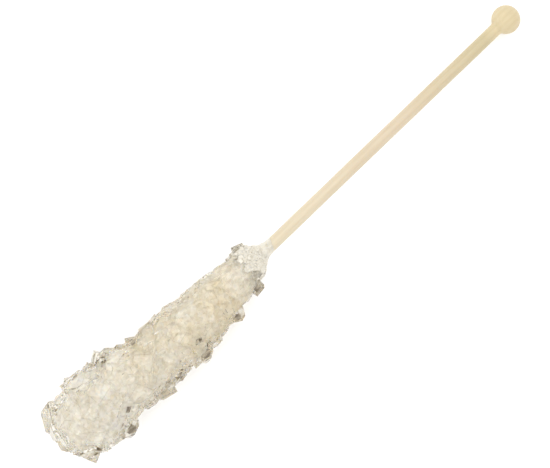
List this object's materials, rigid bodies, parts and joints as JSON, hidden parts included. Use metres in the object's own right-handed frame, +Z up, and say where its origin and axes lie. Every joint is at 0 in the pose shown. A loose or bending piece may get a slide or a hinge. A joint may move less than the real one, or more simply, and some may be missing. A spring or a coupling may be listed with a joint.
{
  "type": "rock candy stick",
  "caption": "Sugar crystals grown in a tapering cluster round one end of a turned wooden stick with a ball at its other end, lying on its side.",
  "frame": {"origin": "centre of the bounding box at the surface that it lies on", "axes": "+X along the stick from the crystals towards the ball, +Z up from the surface that it lies on"},
  "size_m": [0.168, 0.024, 0.021],
  "materials": {
    "birch_wood": "bare sanded birch",
    "sugar": "clear to milky sugar crystals with smooth facets, frosted towards the bare stick"
  },
  "bodies": {
    "root": {"sugar_crystals": "sugar", "wooden_stick": "birch_wood"}
  },
  "joints": []
}
